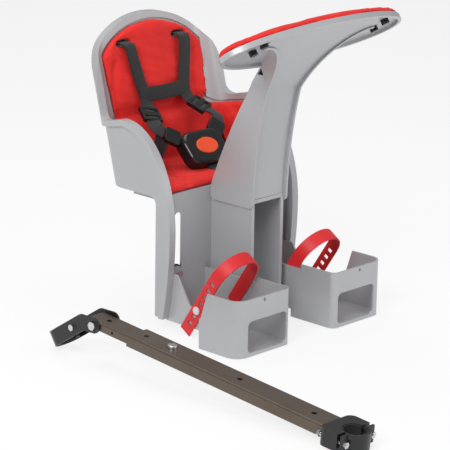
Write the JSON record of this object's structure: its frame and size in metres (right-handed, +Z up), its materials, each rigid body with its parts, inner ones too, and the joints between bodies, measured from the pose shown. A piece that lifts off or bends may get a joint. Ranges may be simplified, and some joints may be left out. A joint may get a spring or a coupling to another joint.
{
  "type": "child bike seat",
  "caption": "Front-mounted child bike seat: reclined bucket with harness, padded bumper tray on a post, adjustable footwells and a telescoping clamp-on mounting bar",
  "frame": {"origin": "on the centre plane, at the open underside of the pedestal where it drops over the mounting bar", "axes": "+Z up, the child faces -Y, +X is the child's left"},
  "size_m": [0.5771, 0.8229, 0.5554],
  "materials": {
    "shell_silver": "satin silver-grey moulded plastic",
    "pad_red": "brushed red fabric over foam",
    "webbing_black": "woven black webbing",
    "plastic_black": "black moulded plastic",
    "button_orange": "orange-red push button",
    "strap_red": "soft red rubber",
    "stud_white": "pale stud",
    "bar_bronze": "bronze metallic paint",
    "steel_black": "black powder coat",
    "rubber_black": "black rubber",
    "zinc_steel": "bright zinc plate"
  },
  "bodies": {
    "seat": {"seat_bucket": "shell_silver", "pedestal": "shell_silver", "pan_screws": "zinc_steel", "bumper_post": "shell_silver", "post_screws": "zinc_steel", "bumper_pad": "pad_red", "bumper_knobs": "plastic_black", "seat_pad": "pad_red", "chest_strap": "webbing_black", "crotch_strap": "webbing_black", "buckle_body": "plastic_black", "shoulder_strap_left": "webbing_black", "shoulder_strap_right": "webbing_black", "strap_stop_left": "plastic_black", "strap_stop_right": "plastic_black", "strap_adjuster_left": "plastic_black", "strap_adjuster_right": "plastic_black", "lap_strap_left": "webbing_black", "lap_strap_right": "webbing_black", "buckle_tongue_left": "plastic_black", "buckle_tongue_right": "plastic_black", "bar_tube": "bar_bronze", "bar_lock_screw": "zinc_steel", "head_block": "steel_black", "head_strap": "steel_black", "head_liner": "rubber_black", "head_bolts": "zinc_steel"},
    "footwell_left": {"footwell_left": "shell_silver", "footwell_bolt_left": "zinc_steel", "footwell_knob_left": "plastic_black", "foot_strap_left": "strap_red", "foot_strap_stud_left": "stud_white"},
    "footwell_right": {"footwell_right": "shell_silver", "footwell_bolt_right": "zinc_steel", "footwell_knob_right": "plastic_black", "foot_strap_right": "strap_red", "foot_strap_stud_right": "stud_white"},
    "bar_slider": {"bar_slider": "bar_bronze", "pivot_bolt": "zinc_steel"},
    "post_bracket": {"post_bracket": "steel_black", "post_liner": "rubber_black", "pinch_bolt": "zinc_steel"},
    "buckle_button": {"buckle_button": "button_orange"}
  },
  "joints": [
    {"name": "footwell_left_height", "type": "slide", "parent": "seat", "child": "footwell_left", "axis": [0, 0, 1], "range_m": [0, 0.06]},
    {"name": "footwell_right_height", "type": "slide", "parent": "seat", "child": "footwell_right", "axis": [0, 0, 1], "range_m": [0, 0.06]},
    {"name": "bar_length", "type": "slide", "parent": "seat", "child": "bar_slider", "axis": [0, 0.9958, 0.0915], "range_m": [-0.04, 0.06]},
    {"name": "bracket_tilt", "type": "hinge", "parent": "bar_slider", "child": "post_bracket", "pos_m": [-0.335, -0.024, 0.06475], "axis": [1, 0, 0], "range_deg": [-20, 70]},
    {"name": "buckle_press", "type": "slide", "parent": "seat", "child": "buckle_button", "axis": [0, 0.7314, -0.682], "range_m": [0, 0.003], "stiffness_N_per_m": 1200}
  ]
}
